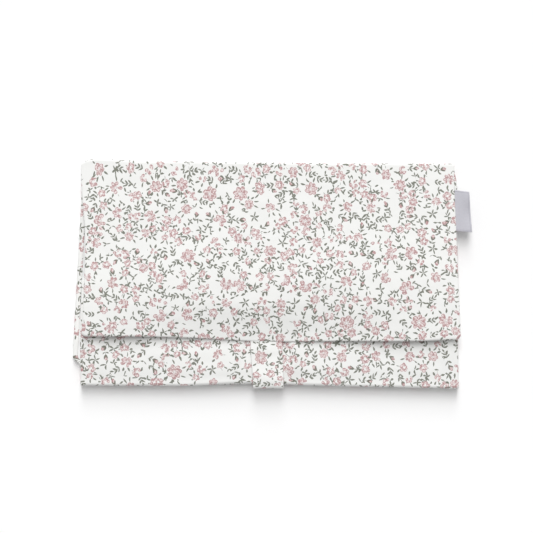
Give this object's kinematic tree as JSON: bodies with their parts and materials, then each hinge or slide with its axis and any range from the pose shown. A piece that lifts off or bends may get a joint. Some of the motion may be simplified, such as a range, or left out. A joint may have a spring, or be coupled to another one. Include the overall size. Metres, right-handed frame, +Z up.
{
  "type": "changing pad",
  "caption": "Padded travel changing pad in floral cotton, folded in three: a flap over a front panel over a back panel, held shut by a strap with hook-and-loop.",
  "frame": {"origin": "centre of the back panel's underside, which the folded pad rests on", "axes": "+X to the right along the creases, +Y from the bottom fold to the top fold, +Z up out of the flap's printed face"},
  "size_m": [0.3606, 0.2044, 0.0256],
  "materials": {
    "printed_cotton": "matte plain-woven cotton, off-white with a small scattered print of pink flowers and grey-green leaves",
    "wadding": "matte white polyester wadding",
    "wipe_clean_lining": "white coated wipe-clean cloth, low sheen",
    "strap_backing": "matte off-white plain-woven cotton",
    "hook_tape": "white nylon hook tape",
    "loop_tape": "white nylon loop tape, fuzzy",
    "label_ribbon": "grey-lavender woven ribbon, matte"
  },
  "bodies": {
    "back": {"back_cover": "printed_cotton", "back_wadding": "wadding", "back_lining": "wipe_clean_lining"},
    "top_fold": {"top_fold_cover": "printed_cotton", "top_fold_wadding": "wadding"},
    "flap": {"flap_cover": "printed_cotton", "flap_wadding": "wadding", "flap_lining": "wipe_clean_lining"},
    "bottom_fold": {"bottom_fold_cover": "printed_cotton", "bottom_fold_wadding": "wadding", "loop_patch": "loop_tape"},
    "front": {"front_cover": "printed_cotton", "front_wadding": "wadding", "front_lining": "wipe_clean_lining"},
    "strap": {"strap_face": "printed_cotton", "strap_backing": "strap_backing"},
    "strap_tip": {"strap_tip_face": "printed_cotton", "strap_tip_backing": "strap_backing", "hook_patch": "hook_tape"},
    "label": {"side_label": "label_ribbon"}
  },
  "joints": [
    {"name": "top_fold_bend", "type": "hinge", "parent": "back", "child": "top_fold", "pos_m": [0, 0.1, 0], "axis": [-1, 0, 0], "range_deg": [0, 89]},
    {"name": "flap_fold", "type": "hinge", "parent": "top_fold", "child": "flap", "pos_m": [0, 0.1, 0.0155], "axis": [-1, 0, 0], "range_deg": [0, 85.4]},
    {"name": "bottom_fold_bend", "type": "hinge", "parent": "back", "child": "bottom_fold", "pos_m": [0, -0.1, 0], "axis": [1, 0, 0], "range_deg": [0, 89]},
    {"name": "front_fold", "type": "hinge", "parent": "bottom_fold", "child": "front", "pos_m": [0, -0.1, 0.0146], "axis": [1, 0, 0], "range_deg": [0, 89]},
    {"name": "strap_peel", "type": "hinge", "parent": "flap", "child": "strap", "pos_m": [0, -0.05859, 0.02083], "axis": [1, 0, 0], "range_deg": [-90, 0]},
    {"name": "strap_tip_bend", "type": "hinge", "parent": "strap", "child": "strap_tip", "pos_m": [0, -0.1044, 0.0168], "axis": [1, 0, 0], "range_deg": [-85, 0]},
    {"name": "label_flex", "type": "hinge", "parent": "flap", "child": "label", "pos_m": [0.1706, 0.05686, 0.01481], "axis": [0, -0.9979, 0.0651], "range_deg": [-60, 60], "stiffness_Nm_per_rad": 0.001}
  ],
  "couplings": [
    {"joint": "flap_fold", "follows": "top_fold_bend", "ratio": 0.95856},
    {"joint": "bottom_fold_bend", "follows": "top_fold_bend", "ratio": 1},
    {"joint": "front_fold", "follows": "top_fold_bend", "ratio": 1}
  ]
}
